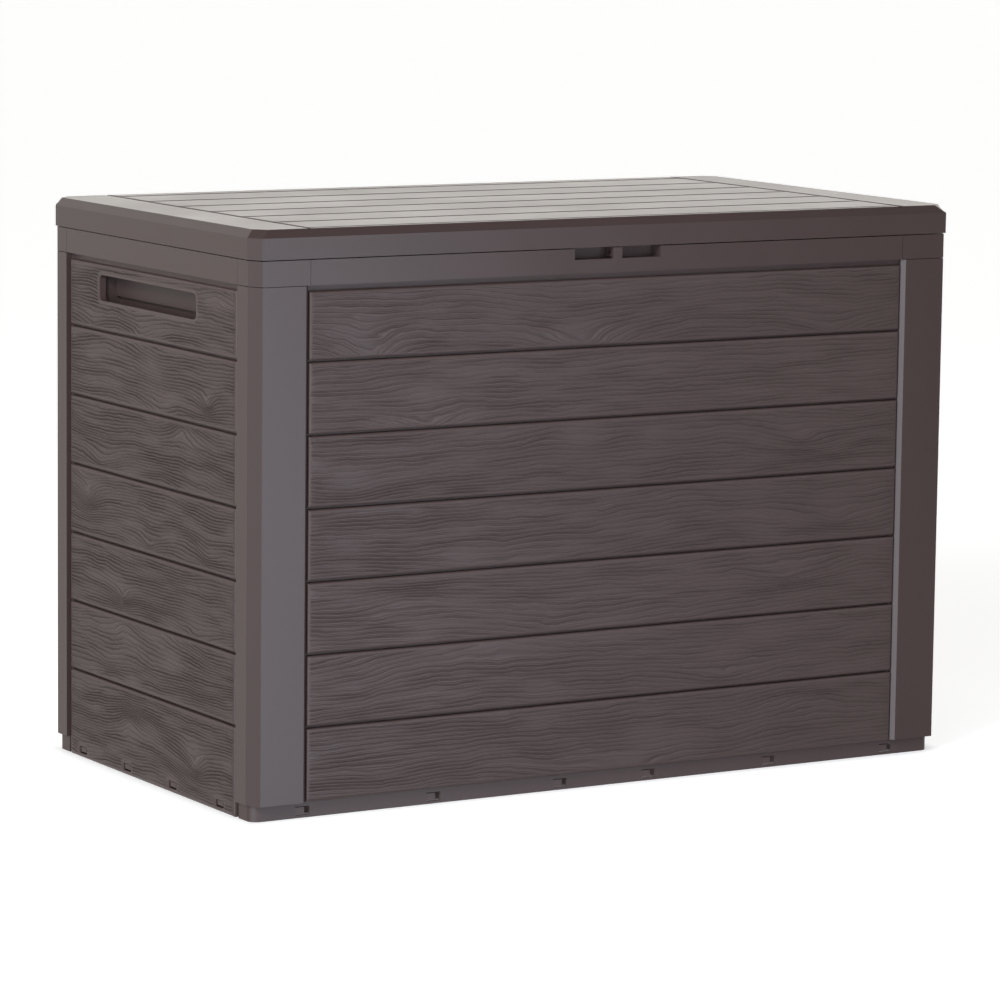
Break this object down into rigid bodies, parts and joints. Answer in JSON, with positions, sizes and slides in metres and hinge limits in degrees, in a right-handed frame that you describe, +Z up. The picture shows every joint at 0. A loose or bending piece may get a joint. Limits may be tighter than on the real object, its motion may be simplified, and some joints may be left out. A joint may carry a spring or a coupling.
{
  "type": "deck storage box",
  "caption": "Moulded resin deck storage box with boarded wood-grain walls, corner posts, end handles and a hinged planked lid that takes a padlock.",
  "frame": {"origin": "centre of the footprint, on the ground under the base tray", "axes": "+X along the front to the right, +Y from the front to the back, +Z up"},
  "size_m": [0.78, 0.433, 0.55],
  "materials": {
    "grained_resin": "embossed wood grain, satin",
    "smooth_resin": "fine satin",
    "lid_resin": "fine satin",
    "base_resin": "satin",
    "inner_resin": "satin",
    "pin_resin": "smooth black"
  },
  "bodies": {
    "box": {"base_tray": "base_resin", "front_panel": "grained_resin", "back_panel": "grained_resin", "left_side_panel": "grained_resin", "right_side_panel": "grained_resin", "corner_post_front_left": "smooth_resin", "corner_post_front_right": "smooth_resin", "corner_post_back_left": "smooth_resin", "corner_post_back_right": "smooth_resin", "corner_cap_front_left": "smooth_resin", "corner_cap_front_right": "smooth_resin", "corner_cap_back_left": "smooth_resin", "corner_cap_back_right": "smooth_resin", "front_rail": "smooth_resin", "back_rail": "smooth_resin", "left_rail": "smooth_resin", "right_rail": "smooth_resin", "handle_cup_left": "inner_resin", "handle_cup_right": "inner_resin", "hinge_pin_left": "pin_resin", "hinge_pin_middle": "pin_resin", "hinge_pin_right": "pin_resin"},
    "lid": {"lid_shell": "lid_resin", "lid_rib_grid": "inner_resin", "lock_tongue": "inner_resin"}
  },
  "joints": [
    {"name": "lid_hinge", "type": "hinge", "parent": "box", "child": "lid", "pos_m": [0, 0.2125, 0.527], "axis": [-1, 0, 0], "range_deg": [0, 100]}
  ]
}
